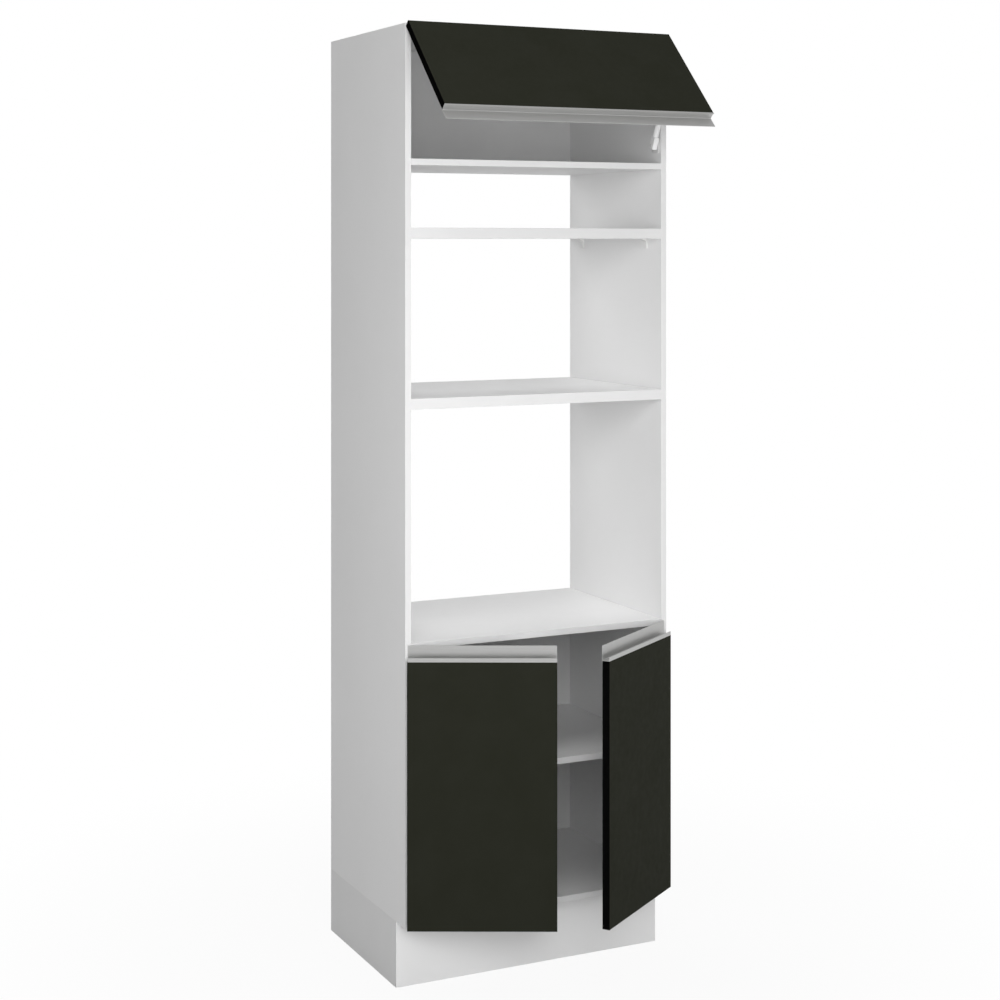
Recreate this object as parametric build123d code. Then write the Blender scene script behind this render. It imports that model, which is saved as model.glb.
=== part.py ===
from build123d import *
from math import atan2, cos, degrees, hypot, radians, sin
import os

# Kitchen tower for a built-in oven and a microwave: a white board carcass on a plinth,
# two black doors below, and a black lift-up flap above.
# +X is right, +Y is back, +Z is up. The origin is on the floor, in the middle of the carcass.

# Carcass and its boards
WIDTH = 700
HEIGHT = 2250
DEPTH = 478
BOARD = 15
THICK_BOARD = 25
ROUNDING = 0.5
FRONT_Y = -DEPTH / 2
BACK_Y = DEPTH / 2
SIDE_X = WIDTH / 2
INNER_X = SIDE_X - BOARD

# Undersides of the boards between the side panels
PLINTH_HEIGHT = 155
MIDDLE_SHELF_Z = 488
OVEN_SHELF_Z = 798.5
MICROWAVE_SHELF_Z = 1354.5
NICHE_SHELF_Z = 1751
FLAP_FLOOR_Z = 1921.5
TOP_PANEL_Z = HEIGHT - BOARD
MIDDLE_SHELF_SIDE_GAP = 2
MIDDLE_SHELF_SETBACK = 2

# Thin back sheets, nailed on
SHEET = 3
SHEET_MARGIN = 2
NAIL_RADIUS = 0.7
NAIL_LENGTH = 14
NAIL_HEAD_RADIUS = 2
NAIL_HEAD = 0.6
NAIL_XS = (-210, -70, 70, 210)
NAIL_STEPS = 4
NAIL_END = 30

# Plinth
PLINTH_SETBACK = 54
BLOCK_SIZE = 28
BLOCK_LOW_Z = 40
BLOCK_SCREW_RADIUS = 2
BLOCK_SCREW_HEAD_RADIUS = 4
BLOCK_SCREW_HEAD = 2
BLOCK_SCREW_GRIP = 10
BLOCK_SIDE_SCREW_Z = 70
BLOCK_END_SCREW_Z = 100
BLOCK_RISE_INSET = 6
RAIL_DOWEL_RADIUS = 3
RAIL_DOWEL_GRIP = 10
RAIL_DOWEL_DEPTH = 20

# Joints between boards
CAM_RADIUS = 7.5
CAM_BACKSET = 34
CAM_X = INNER_X - CAM_BACKSET
CAM_INSET = 50
CAM_BELOW_CENTRE = 4.5
CAM_PLAY = 0.1
CAM_MOUTH = (-3, 10)
CAM_CROSS_HALF = 4
CAM_SLOT_HALF = 0.6
CAM_SLOT_DEPTH = 1.5
BOLT_RADIUS = 3
BOLT_HEAD_RADIUS = 3.6
BOLT_GRIP = 11
BOLT_NECK_RADIUS = 2
BOLT_COLLAR = 2
DOWEL_RADIUS = 4
DOWEL_LENGTH = 34
DOWEL_GRIP = 12
DOWEL_INSET = 82
CAP_RADIUS = 8.5
CAP_THICKNESS = 1
CAP_EASE = 0.4

# Loose shelf, shelf clips and wall brackets
SHELF_PIN_RADIUS = 2.5
SHELF_PIN_YS = (-190, 190)
SHELF_PIN_REACH = 9
SHELF_PIN_GRIP = 8
SHELF_PIN_COLLAR_RADIUS = 4
SHELF_PIN_COLLAR = 1.5
CLIP_YS = (-166, 166)
CLIP_WIDTH = 14
CLIP_SECTION = ((0, 0), (12, 0), (12, -2.5), (4, -6), (2.5, -24), (0, -24))
CLIP_PEG_RADIUS = 2.5
CLIP_PEG_DROP = 14
WALL_BRACKET_XS = (-250, 250)
WALL_BRACKET_HALF = 11
WALL_BRACKET_LEG = 28
WALL_BRACKET_WALL = 2
WALL_BRACKET_SCREW_Y = BACK_Y - 18
WALL_HOLE_Z = HEIGHT - 32
WALL_HOLE_RADIUS = 3.5

# Small screws
SCREW_RADIUS = 1.7
SCREW_LENGTH = 12
SCREW_HEAD_RADIUS = 3.3
SCREW_HEAD = 1.5
SCREW_HEAD_EASE = 0.9
SCREW_CROSS_HALF = 2
SCREW_SLOT_HALF = 0.4
SCREW_SLOT_DEPTH = 0.8

# Doors and flap, when closed
LEAF_BOARD = 18
LEAF_GAP = 3
REVEAL = 1
DOOR_WIDTH = 346
DOOR_LOW_Z = 155
DOOR_TOP_Z = 775
FLAP_WIDTH = WIDTH - 2 * REVEAL
FLAP_LENGTH = 290
EDGE_BAND = 0.8
LEAF_BACK_Y = FRONT_Y - LEAF_GAP
LEAF_FRONT_Y = LEAF_BACK_Y - LEAF_BOARD
FLAP_TOP_Z = HEIGHT - REVEAL
FLAP_LOW_Z = FLAP_TOP_Z - FLAP_LENGTH

# How far each leaf stands open, in degrees
LEFT_OPEN = 26.2
RIGHT_OPEN = 35
FLAP_OPEN = 45

# Soft pads on the backs of the leaves
BUMPER_RADIUS = 4
BUMPER_PLAY = 0.4
DOOR_BUMPER_INSETS = (40, 300)
DOOR_BUMPER_RISE = 8
FLAP_BUMPER_RISE = 15

# Aluminium handle profile along the free edge of each leaf
HANDLE_WALL = 1.2
DOOR_HANDLE_LIP = 9.5
DOOR_HANDLE_RISE = 35
FLAP_HANDLE_LIP = 4.5
FLAP_HANDLE_RISE = 29
HANDLE_HOOK = 6
HANDLE_HOLLOW = 2
HANDLE_CUT = 1
HANDLE_LIP_ROUNDING = 1.5
HANDLE_SCREW_Y = 4.2
HANDLE_SCREW_RADIUS = 1.4
HANDLE_SCREW_LENGTH = 14
HANDLE_SCREW_HEAD_RADIUS = 2.4
HANDLE_SCREW_HEAD = 0.8

# Cup hinge with one pin. Its section is drawn with X inward from the carcass's outer face
# and Y backward from the carcass's front.
PIN_INSET = 6
PIN_DEPTH = 8
PIN_RADIUS = 1.25
PIN_HALF = 7.2
PIN_PLAY = 0.05
PIN_X = REVEAL + PIN_INSET
PIN_Y = -LEAF_GAP - PIN_DEPTH
CUP_X = REVEAL + 20.5
CUP_HOLE_RADIUS = 17.5
CUP_RADIUS = 17.4
CUP_WALL = 0.8
CUP_DEPTH = 12.2
CUP_FLANGE = 1.2
CUP_FLANGE_WIDTH = 1.5
CUP_EAR_SIZE = (13, 62)
CUP_EAR_ROUNDING = 5
CUP_SCREW_X = CUP_X + 9.5
CUP_SCREW_HALF = 24
LUG_HALF_X = 2.2
LUG_REACH = 3
ARM_X = PIN_X + 13.5
ARM_WALL = 1.6
ARM_SIDE_WALL = 1.2
ARM_BEND = 2
ARM_START_Y = 3
ARM_SIDES_Y = 6
ARM_END_Y = 52
NECK_HALF = 4
NECK_PLAY = 0.6
ARM_HALF = 8
KNUCKLE_RADIUS = 2.2
PLATE_BASE = 1.2
PLATE_SEAT_Y = (14, 50)
PLATE_SEAT_HALF = 6
PLATE_WING_SIZE = (16, 44)
PLATE_WING_ROUNDING = 6
PLATE_SCREW_Y = 37
PLATE_SCREW_HALF = 16
ARM_SCREW_YS = (24, 42)
ARM_SCREW_HEAD_RADIUS = 3.2
ARM_SCREW_HEAD = 1.8
ARM_SCREW_CROSS_HALF = 2.2
ARM_SCREW_SLOT_HALF = 0.5
ARM_SCREW_SLOT_DEPTH = 0.8
DOOR_HINGE_ZS = (255, 673)
FLAP_HINGE_XS = (-248, 248)

# Gas strut on the right, from the side panel to the flap
STRUT_X = 325
STRUT_Y = -219
STRUT_Z = 1981
STRUT_PIN_RADIUS = 2.5
SOCKET_HALF_X = 6.5
SOCKET_HALF_Y = 9
SOCKET_BELOW = 8
SOCKET_ABOVE = 24
SOCKET_ROUNDING = 1.2
TUBE_RADIUS = 7.5
TUBE_BORE = 6.6
TUBE_FLOOR = 2
TUBE_TOP = 129.5
GLAND_PLUG = 6
GLAND_TOP = 132
GLAND_ROUNDING = 0.8
ROD_RADIUS = 3
ROD_LENGTH = 104
PISTON_RADIUS = 6.5
PISTON_LENGTH = 8
TOP_SOCKET_HALF_Y = 5.5
TOP_SOCKET_BELOW = 13
PANEL_BRACKET_WALL = 2
PANEL_BRACKET_Y = (STRUT_Y - 9, STRUT_Y + 22)
PANEL_BRACKET_HALF_Z = 18
PANEL_BRACKET_ROUNDING = 5
PANEL_BRACKET_SCREW_Y = STRUT_Y + 16
PANEL_BRACKET_SCREW_HALF = 11
STUD_STOP_RADIUS = 3.7
STUD_STOP = 1.2
STUD_PLAY = 1

# Bracket on the flap that takes the strut's upper pin in a window
BRACKET_X = 312
BRACKET_WALL = 2
BRACKET_FROM = 80
BRACKET_TO = 134
BRACKET_HEIGHT = 35
BRACKET_FOOT = 18
BRACKET_ROUNDING = 8
BRACKET_SCREW_INSET = 8
STRUT_FROM_EDGE = 98
STRUT_OFF_FLAP = 12
WINDOW_CORNERS = ((93.3, 14), (96.4, 12), (119.9, 11.6), (119.9, 21.6), (102, 17.6), (95, 16.6))
WINDOW_RADIUS = 3.8
WASHER_RADIUS = 9
WASHER = 1.6
WASHER_PLAY = 1


# Basic shapes

def block(x, y, z):
    """A square-edged block between the low and high limits on each axis."""
    size = (x[1] - x[0], y[1] - y[0], z[1] - z[0])
    return Pos(x[0], y[0], z[0]) * Box(*size, align=(Align.MIN, Align.MIN, Align.MIN))


def board(x, y, z):
    """A board with its edges eased."""
    plain = block(x, y, z)
    return fillet(plain.edges(), ROUNDING)


def bar_x(radius, x, y, z):
    """A round bar along X."""
    middle = (x[0] + x[1]) / 2
    return Pos(middle, y, z) * Rot(0, 90, 0) * Cylinder(radius, x[1] - x[0])


def bar_y(radius, x, y, z):
    """A round bar along Y."""
    middle = (y[0] + y[1]) / 2
    return Pos(x, middle, z) * Rot(90, 0, 0) * Cylinder(radius, y[1] - y[0])


def bar_z(radius, x, y, z):
    """A round bar along Z."""
    middle = (z[0] + z[1]) / 2
    return Pos(x, y, middle) * Cylinder(radius, z[1] - z[0])


def both_sides(shape):
    """A shape and its mirror image on the other side of the cabinet."""
    return [shape, mirror(shape, about=Plane.YZ)]


def cut(body, tools):
    """The body without the tools."""
    for tool in tools:
        body = body - tool
    return body


def group(shapes):
    """Separate solids as one piece of the model."""
    return Compound(children=[solid for shape in shapes for solid in shape.solids()])


def cross_slot(half, slot_half, depth, place=Pos(0, 0, 0)):
    """The waste of a screwdriver's cross, through the face at the place."""
    along = block((-half, half), (-slot_half, slot_half), (-depth, depth))
    across = block((-slot_half, slot_half), (-half, half), (-depth, depth))
    return place * (along + across)


# Fittings that join the boards

FIXED_BOARDS = {
    # name: underside, thickness, side that the cams are let into (1 is the top)
    "top_panel": (TOP_PANEL_Z, BOARD, -1),
    "flap_compartment_floor": (FLAP_FLOOR_Z, BOARD, 1),
    "microwave_shelf": (MICROWAVE_SHELF_Z, THICK_BOARD, -1),
    "oven_shelf": (OVEN_SHELF_Z, BOARD, -1),
    "bottom_panel": (PLINTH_HEIGHT, BOARD, -1),
}


def cam_span(low, thick, side):
    """The heights between which a cam sits in a board."""
    middle = low + thick / 2
    if side > 0:
        return (middle - CAM_BELOW_CENTRE, low + thick)
    return (low, middle + CAM_BELOW_CENTRE)


def cam_housings():
    """Cast cams, each with a slot for the bolt's head and a cross for the screwdriver."""
    cams = []
    for low, thick, side in FIXED_BOARDS.values():
        middle = low + thick / 2
        span = cam_span(low, thick, side)
        face = span[1] if side > 0 else span[0]
        for y in (FRONT_Y + CAM_INSET, BACK_Y - CAM_INSET):
            mouth = (CAM_X + CAM_MOUTH[0], CAM_X + CAM_MOUTH[1])
            cam = bar_z(CAM_RADIUS - CAM_PLAY, CAM_X, y, span)
            cam -= bar_x(BOLT_HEAD_RADIUS + 3 * CAM_PLAY, mouth, y, middle)
            cam -= cross_slot(CAM_CROSS_HALF, CAM_SLOT_HALF, CAM_SLOT_DEPTH, Pos(CAM_X, y, face))
            cams += both_sides(cam)
    return group(cams)


def cam_pockets(low, thick, side):
    """Holes for the cams and their bolts in one board."""
    tools = []
    for y in (FRONT_Y + CAM_INSET, BACK_Y - CAM_INSET):
        tools += both_sides(bar_z(CAM_RADIUS, CAM_X, y, cam_span(low, thick, side)))
        tools += both_sides(bar_x(BOLT_HEAD_RADIUS, (CAM_X, INNER_X + 1), y, low + thick / 2))
    return tools


def cam_bolts():
    """Steel bolts that screw into the side panels and reach into the cams."""
    bolts = []
    for low, thick, side in FIXED_BOARDS.values():
        z = low + thick / 2
        for y in (FRONT_Y + CAM_INSET, BACK_Y - CAM_INSET):
            bolt = bar_x(BOLT_NECK_RADIUS, (CAM_X, INNER_X), y, z)
            bolt += bar_x(BOLT_RADIUS, (INNER_X, INNER_X + BOLT_GRIP), y, z)
            bolt += bar_x(BOLT_RADIUS, (CAM_X - BOLT_COLLAR, CAM_X + BOLT_COLLAR / 2), y, z)
            bolt += bar_x(BOLT_RADIUS, (INNER_X - BOLT_COLLAR, INNER_X), y, z)
            bolts += both_sides(bolt)
    return group(bolts)


def cam_caps():
    """White plastic discs that hide the cams, except under the bottom panel."""
    caps = []
    for name, (low, thick, side) in FIXED_BOARDS.items():
        if name == "bottom_panel":
            continue
        face = low + thick if side > 0 else low
        span = (face, face + CAP_THICKNESS) if side > 0 else (face - CAP_THICKNESS, face)
        for y in (FRONT_Y + CAM_INSET, BACK_Y - CAM_INSET):
            cap = bar_z(CAP_RADIUS, CAM_X, y, span)
            cap = fillet(cap.edges(), CAP_EASE)
            caps += both_sides(cap)
    return group(caps)


def dowels():
    """Beech dowels beside the bolts, and at the ends of the plinth's middle rail."""
    pegs = []
    start = INNER_X + DOWEL_GRIP
    for low, thick, side in FIXED_BOARDS.values():
        for y in (FRONT_Y + DOWEL_INSET, BACK_Y - DOWEL_INSET):
            peg = bar_x(DOWEL_RADIUS, (start - DOWEL_LENGTH, start), y, low + thick / 2)
            pegs += both_sides(peg)
    rail_ends = (PLINTH_FRONT_Y + BOARD, BACK_Y - BOARD)
    for y, outward in zip(rail_ends, (-1, 1)):
        for z in (PLINTH_HEIGHT / 3, PLINTH_HEIGHT * 2 / 3):
            ends = sorted((y + outward * RAIL_DOWEL_GRIP, y - outward * RAIL_DOWEL_DEPTH))
            pegs.append(bar_y(RAIL_DOWEL_RADIUS, 0, ends, z))
    return group(pegs)


# Plinth

PLINTH_FRONT_Y = FRONT_Y + PLINTH_SETBACK


def mitre_wedge(waste):
    """The waste on one side of the mitre at the plinth's front right corner."""
    outer = (SIDE_X + 1, PLINTH_FRONT_Y - 1)
    inner = (INNER_X - 1, PLINTH_FRONT_Y + BOARD + 1)
    third = (outer[0], inner[1]) if waste == "front" else (inner[0], outer[1])
    wedge = extrude(make_face(Polyline(outer, inner, third, close=True)), amount=PLINTH_HEIGHT + 2)
    return Pos(0, 0, -1) * wedge


def plinth_boards():
    """Four boards round the plinth, mitred at the front, and a rail under the middle."""
    z = (0, PLINTH_HEIGHT)
    inner = (PLINTH_FRONT_Y + BOARD, BACK_Y - BOARD)
    front = board((-SIDE_X, SIDE_X), (PLINTH_FRONT_Y, inner[0]), z)
    side = board((INNER_X, SIDE_X), (PLINTH_FRONT_Y, BACK_Y), z) - mitre_wedge("side")
    boards = {
        "plinth_front_board": cut(front, both_sides(mitre_wedge("front"))),
        "plinth_back_board": board((-INNER_X, INNER_X), (inner[1], BACK_Y), z),
        "plinth_left_board": mirror(side, about=Plane.YZ),
        "plinth_right_board": side,
        "plinth_middle_rail": board((-BOARD / 2, BOARD / 2), inner, z),
    }
    return boards


def corner_block_places():
    """The inner corner of the plinth that each right-hand block sits in."""
    return ((PLINTH_FRONT_Y + BOARD, 1), (BACK_Y - BOARD, -1))


def plinth_corner_blocks():
    """Softwood blocks that hold the plinth's boards together."""
    blocks = []
    for y, inward in corner_block_places():
        ends = sorted((y, y + inward * BLOCK_SIZE))
        piece = block((INNER_X - BLOCK_SIZE, INNER_X), ends, (BLOCK_LOW_Z, PLINTH_HEIGHT))
        blocks += both_sides(piece)
    return group(blocks)


def plinth_screws():
    """Screws through each block: into the side, into the front or back, and up into the cabinet."""
    thin = BLOCK_SCREW_RADIUS
    wide = BLOCK_SCREW_HEAD_RADIUS
    screws = []
    for y, inward in corner_block_places():
        y_middle = y + inward * BLOCK_SIZE / 2
        x_face = INNER_X - BLOCK_SIZE
        side = bar_x(thin, (x_face, INNER_X + BLOCK_SCREW_GRIP), y_middle, BLOCK_SIDE_SCREW_Z)
        side += bar_x(wide, (x_face - BLOCK_SCREW_HEAD, x_face), y_middle, BLOCK_SIDE_SCREW_Z)
        x_middle = INNER_X - BLOCK_SIZE / 2
        y_face = y + inward * BLOCK_SIZE
        shank = sorted((y_face, y - inward * BLOCK_SCREW_GRIP))
        head = sorted((y_face, y_face + inward * BLOCK_SCREW_HEAD))
        end = bar_y(thin, x_middle, shank, BLOCK_END_SCREW_Z)
        end += bar_y(wide, x_middle, head, BLOCK_END_SCREW_Z)
        x_rise = INNER_X - BLOCK_RISE_INSET
        y_rise = y + inward * BLOCK_RISE_INSET
        rise = bar_z(thin, x_rise, y_rise, (BLOCK_LOW_Z, PLINTH_HEIGHT + BLOCK_SCREW_GRIP))
        rise += bar_z(wide, x_rise, y_rise, (BLOCK_LOW_Z - BLOCK_SCREW_HEAD, BLOCK_LOW_Z))
        for screw in (side, end, rise):
            screws += both_sides(screw)
    return group(screws)


# Back sheets

SHEET_SPANS = {
    # name: lowest and highest edge, and the heights of the boards that take its nails
    "lower_back_panel": (
        PLINTH_HEIGHT + SHEET_MARGIN,
        OVEN_SHELF_Z + BOARD - SHEET_MARGIN,
        (PLINTH_HEIGHT + BOARD / 2, OVEN_SHELF_Z + BOARD / 2),
    ),
    "upper_back_panel": (
        FLAP_FLOOR_Z + SHEET_MARGIN,
        HEIGHT - SHEET_MARGIN,
        (FLAP_FLOOR_Z + BOARD / 2, TOP_PANEL_Z + BOARD / 2),
    ),
}


def back_panel_nails():
    """Round nails along the edges of the two back sheets."""
    places = []
    for low, high, rows in SHEET_SPANS.values():
        for z in rows:
            places += [(x, z) for x in NAIL_XS]
        for step in range(NAIL_STEPS + 1):
            z = low + NAIL_END + (high - low - 2 * NAIL_END) * step / NAIL_STEPS
            places += [(side * (SIDE_X - BOARD / 2), z) for side in (-1, 1)]
    nails = []
    back = BACK_Y + SHEET
    for x, z in places:
        nail = bar_y(NAIL_RADIUS, x, (back - NAIL_LENGTH, back), z)
        nail += bar_y(NAIL_HEAD_RADIUS, x, (back, back + NAIL_HEAD), z)
        nails.append(nail)
    return group(nails)


def back_sheet(name):
    """A thin white sheet on the rear edges of the boards."""
    low, high = SHEET_SPANS[name][:2]
    x = SIDE_X - SHEET_MARGIN
    return block((-x, x), (BACK_Y, BACK_Y + SHEET), (low, high))


# Pieces that carry shelves, and brackets for the wall

def middle_shelf():
    x = INNER_X - MIDDLE_SHELF_SIDE_GAP
    z = (MIDDLE_SHELF_Z, MIDDLE_SHELF_Z + BOARD)
    y = (FRONT_Y + MIDDLE_SHELF_SETBACK, BACK_Y - MIDDLE_SHELF_SETBACK)
    return board((-x, x), y, z)


def middle_shelf_pins():
    """Steel pins in the side panels, each with a collar against the panel."""
    pins = []
    z = MIDDLE_SHELF_Z - SHELF_PIN_RADIUS
    for y in SHELF_PIN_YS:
        pin = bar_x(SHELF_PIN_RADIUS, (INNER_X - SHELF_PIN_REACH, INNER_X + SHELF_PIN_GRIP), y, z)
        pin += bar_x(SHELF_PIN_COLLAR_RADIUS, (INNER_X - SHELF_PIN_COLLAR, INNER_X), y, z)
        pins += both_sides(pin)
    return group(pins)


def niche_shelf_clips():
    """White plastic brackets under the niche shelf, pegged into the side panels."""
    clips = []
    for y in CLIP_YS:
        z = NICHE_SHELF_Z
        section = Polyline(*CLIP_SECTION, close=True)
        inward = Plane((INNER_X, y - CLIP_WIDTH / 2, z), x_dir=(-1, 0, 0), z_dir=(0, 1, 0))
        clip = inward.location * extrude(make_face(section), amount=CLIP_WIDTH)
        clip += bar_x(CLIP_PEG_RADIUS, (INNER_X - 2, INNER_X + SHELF_PIN_GRIP), y, z - CLIP_PEG_DROP)
        clips += both_sides(clip)
    return group(clips)


def wall_brackets():
    """Steel angles under the top panel, with a hole each for the wall screw."""
    low = TOP_PANEL_Z - WALL_BRACKET_WALL
    front = BACK_Y - WALL_BRACKET_WALL
    brackets = []
    for x in WALL_BRACKET_XS:
        across = (x - WALL_BRACKET_HALF, x + WALL_BRACKET_HALF)
        angle = block(across, (BACK_Y - WALL_BRACKET_LEG, BACK_Y), (low, TOP_PANEL_Z))
        angle += block(across, (front, BACK_Y), (TOP_PANEL_Z - WALL_BRACKET_LEG, TOP_PANEL_Z))
        angle -= bar_y(WALL_HOLE_RADIUS, x, (front - 1, BACK_Y + 1), WALL_HOLE_Z)
        angle -= bar_z(SCREW_RADIUS, x, WALL_BRACKET_SCREW_Y, (low - 1, TOP_PANEL_Z + 1))
        brackets.append(angle)
    return group(brackets)


def screw():
    """A pan-head screw that points along +Z, with the underside of its head at zero."""
    shank = bar_z(SCREW_RADIUS, 0, 0, (0, SCREW_LENGTH))
    head = bar_z(SCREW_HEAD_RADIUS, 0, 0, (-SCREW_HEAD, 0))
    head = fillet(head.edges().group_by(Axis.Z)[0], SCREW_HEAD_EASE)
    cross = cross_slot(SCREW_CROSS_HALF, SCREW_SLOT_HALF, SCREW_SLOT_DEPTH, Pos(0, 0, -SCREW_HEAD))
    return head + shank - cross


# Hinges, drawn in the hinge section and then placed

def hinge_frames(leaf):
    """Where each hinge of a leaf stands: X inward across the leaf, Y backward."""
    if leaf == "left_door":
        return [Plane((-SIDE_X, FRONT_Y, z), x_dir=(1, 0, 0), z_dir=(0, 0, 1)) for z in DOOR_HINGE_ZS]
    if leaf == "right_door":
        return [Plane((SIDE_X, FRONT_Y, z), x_dir=(-1, 0, 0), z_dir=(0, 0, -1)) for z in DOOR_HINGE_ZS]
    return [Plane((x, FRONT_Y, HEIGHT), x_dir=(0, 0, -1), z_dir=(1, 0, 0)) for x in FLAP_HINGE_XS]


def placed(shape, leaf):
    """A copy of a hinge piece at every hinge of a leaf."""
    return [frame.location * shape for frame in hinge_frames(leaf)]


def hinge_cup():
    """A pressed steel cup with a flange, two screw ears, and two lugs that hold the pin."""
    face = -LEAF_GAP
    cup = bar_y(CUP_RADIUS, CUP_X, (face - CUP_DEPTH, face), 0)
    ears = Pos(CUP_SCREW_X, 0) * RectangleRounded(*CUP_EAR_SIZE, CUP_EAR_ROUNDING)
    plate = Pos(CUP_X, 0) * Circle(CUP_RADIUS + CUP_FLANGE_WIDTH) + ears
    cup += Pos(0, face, 0) * Rot(90, 0, 0) * extrude(plate, amount=-CUP_FLANGE)
    cup -= bar_y(CUP_RADIUS - CUP_WALL, CUP_X, (face - CUP_DEPTH + CUP_WALL, face + 5), 0)
    for side in (-1, 1):
        cup -= bar_y(SCREW_RADIUS, CUP_SCREW_X, (face - 1, face + 5), side * CUP_SCREW_HALF)
    lug_x = (PIN_X - LUG_HALF_X, PIN_X + LUG_HALF_X)
    lugs = block(lug_x, (face - CUP_DEPTH, PIN_Y + LUG_REACH), (-CUP_RADIUS, CUP_RADIUS))
    cup += lugs & bar_y(CUP_RADIUS, CUP_X, (face - CUP_DEPTH, face), 0)
    cup -= bar_z(PIN_RADIUS, PIN_X, PIN_Y, (-CUP_RADIUS, CUP_RADIUS))
    window = NECK_HALF + NECK_PLAY
    window_x = (CUP_X - CUP_RADIUS - 1, lug_x[1] + 1)
    window_y = (face - CUP_DEPTH + CUP_WALL, PIN_Y + LUG_REACH)
    return cup - block(window_x, window_y, (-window, window))


def hinge_pin():
    """The steel pin across the cup, which the arm's knuckle turns on."""
    return bar_z(PIN_RADIUS, PIN_X, PIN_Y, (-PIN_HALF, PIN_HALF))


def hinge_arm():
    """A bent steel arm: a knuckle round the pin, a crank out of the cup, and a channel behind."""
    run_y = PIN_Y - KNUCKLE_RADIUS + ARM_WALL / 2
    crank = FilletPolyline((PIN_X, run_y), (ARM_X, run_y), (ARM_X, ARM_SIDES_Y), radius=ARM_BEND)
    arm = extrude(trace(crank, ARM_WALL), amount=NECK_HALF, both=True)
    arm += bar_z(KNUCKLE_RADIUS, PIN_X, PIN_Y, (-NECK_HALF, NECK_HALF))
    web = (ARM_X - ARM_WALL / 2, ARM_X + ARM_WALL / 2)
    arm += block(web, (ARM_START_Y, ARM_END_Y), (-ARM_HALF, ARM_HALF))
    for side in (-1, 1):
        wall = sorted((side * (ARM_HALF - ARM_SIDE_WALL), side * ARM_HALF))
        arm += block((BOARD + ARM_WALL, web[1]), (ARM_SIDES_Y, ARM_END_Y), wall)
    for y in ARM_SCREW_YS:
        arm -= bar_x(SCREW_RADIUS, (web[0] - 1, web[1] + 1), y, 0)
    return arm - bar_z(PIN_RADIUS + PIN_PLAY, PIN_X, PIN_Y, (-NECK_HALF - 1, NECK_HALF + 1))


def hinge_plate():
    """A steel mounting plate with two wings and a raised seat for the arm."""
    seat_x = (BOARD, ARM_X - ARM_WALL / 2)
    plate = block(seat_x, PLATE_SEAT_Y, (-PLATE_SEAT_HALF, PLATE_SEAT_HALF))
    wings = Pos(PLATE_SCREW_Y, 0) * RectangleRounded(*PLATE_WING_SIZE, PLATE_WING_ROUNDING)
    plate += Pos(BOARD, 0, 0) * Plane.YZ.location * extrude(wings, amount=PLATE_BASE)
    for side in (-1, 1):
        hole = bar_x(SCREW_RADIUS, (BOARD - 1, seat_x[1]), PLATE_SCREW_Y, side * PLATE_SCREW_HALF)
        plate -= hole
    for y in ARM_SCREW_YS:
        plate -= bar_x(SCREW_RADIUS, (BOARD + PLATE_BASE, ARM_X), y, 0)
    return plate


def hinge_arm_screws(leaf):
    """Machine screws through the arm into the mounting plate."""
    web = ARM_X + ARM_WALL / 2
    screws = []
    for y in ARM_SCREW_YS:
        body = bar_x(SCREW_RADIUS, (BOARD + PLATE_BASE, web), y, 0)
        body += bar_x(ARM_SCREW_HEAD_RADIUS, (web, web + ARM_SCREW_HEAD), y, 0)
        face = Pos(web + ARM_SCREW_HEAD, y, 0) * Rot(0, 90, 0)
        body -= cross_slot(ARM_SCREW_CROSS_HALF, ARM_SCREW_SLOT_HALF, ARM_SCREW_SLOT_DEPTH, face)
        screws += placed(body, leaf)
    return screws


def hinge_plate_screws(leaf):
    screws = []
    for side in (-1, 1):
        turned = Pos(BOARD + PLATE_BASE, PLATE_SCREW_Y, side * PLATE_SCREW_HALF) * Rot(0, -90, 0)
        screws += placed(turned * screw(), leaf)
    return screws


def cup_screws(leaf):
    screws = []
    for side in (-1, 1):
        seat = CUP_FLANGE - LEAF_GAP
        turned = Pos(CUP_SCREW_X, seat, side * CUP_SCREW_HALF) * Rot(90, 0, 0)
        screws += placed(turned * screw(), leaf)
    return screws


def cup_holes(leaf):
    """Round pockets in the back of a leaf for its cups."""
    hole = bar_y(CUP_HOLE_RADIUS, CUP_X, (-LEAF_GAP - CUP_DEPTH - 0.2, 0), 0)
    return placed(hole, leaf)


# Handle profiles

def handle(length, lip, rise):
    """The profile along +X, on an edge at z = 0 whose front is at y = 0 and back at y = LEAF_BOARD."""
    wall = HANDLE_WALL
    root = wall + HANDLE_LIP_ROUNDING
    inner_y = LEAF_BOARD
    back = inner_y + wall
    hollow = wall + HANDLE_HOLLOW
    top = Line((inner_y, rise), (back, rise))
    rear = Polyline((back, rise), (back, -HANDLE_HOOK), (inner_y, -HANDLE_HOOK), (inner_y, 0))
    front = Polyline((inner_y, 0), (0, 0), (0, lip), (wall, lip), (wall, root))
    small = RadiusArc((wall, root), (root, wall), -HANDLE_LIP_ROUNDING)
    floor = Line((root, wall), (inner_y - HANDLE_HOLLOW, wall))
    bend = RadiusArc((inner_y - HANDLE_HOLLOW, wall), (inner_y, hollow), -HANDLE_HOLLOW)
    inner = Line((inner_y, hollow), (inner_y, rise))
    section = make_face([*top.edges(), *rear.edges(), *front.edges(), small, floor, bend, inner])
    return extrude(Plane.YZ.location * section, amount=length)


def handle_screws(length, count):
    """Flat-headed screws through the floor of the profile into the board's edge."""
    screws = []
    for number in range(count):
        x = length * (number + 0.5) / count
        head = (HANDLE_WALL, HANDLE_WALL + HANDLE_SCREW_HEAD)
        body = bar_z(HANDLE_SCREW_RADIUS, x, HANDLE_SCREW_Y, (-HANDLE_SCREW_LENGTH, HANDLE_WALL))
        body += bar_z(HANDLE_SCREW_HEAD_RADIUS, x, HANDLE_SCREW_Y, head)
        screws.append(body)
    return screws


# Leaves, drawn closed and then turned open about their pins

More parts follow.
